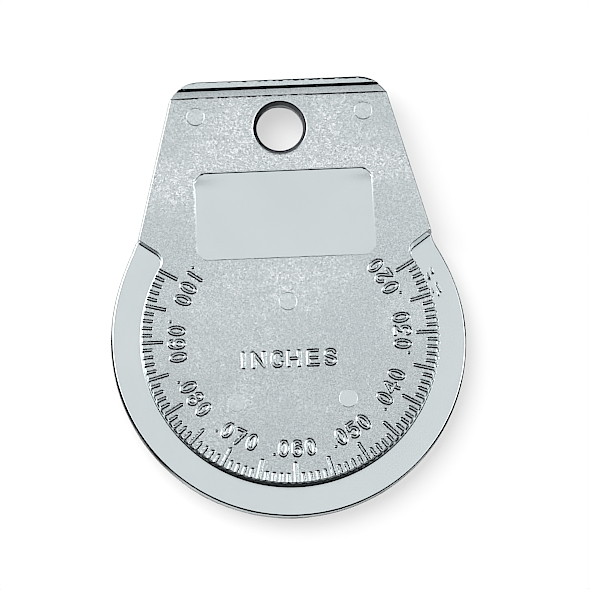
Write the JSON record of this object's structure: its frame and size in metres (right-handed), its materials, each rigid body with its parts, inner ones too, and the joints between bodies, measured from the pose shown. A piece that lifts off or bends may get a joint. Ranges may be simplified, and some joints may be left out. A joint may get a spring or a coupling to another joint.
{
  "type": "spark plug gap gauge",
  "caption": "Flat die-cast gauge: a round dial with a thin rim that thickens round its edge for measuring spark plug gaps, a tapered head, a hang hole and a bending lip.",
  "frame": {"origin": "centre of the round dial on the flat back face", "axes": "+Y from the dial up the head to the hang hole, +Z out of the graduated front face"},
  "size_m": [0.0409, 0.0514, 0.005],
  "materials": {
    "plated_zinc": "satin plated zinc die casting: smooth rim and panel, grainy cast skin on the flat faces"
  },
  "bodies": {
    "root": {"gauge_body": "plated_zinc"}
  },
  "joints": []
}
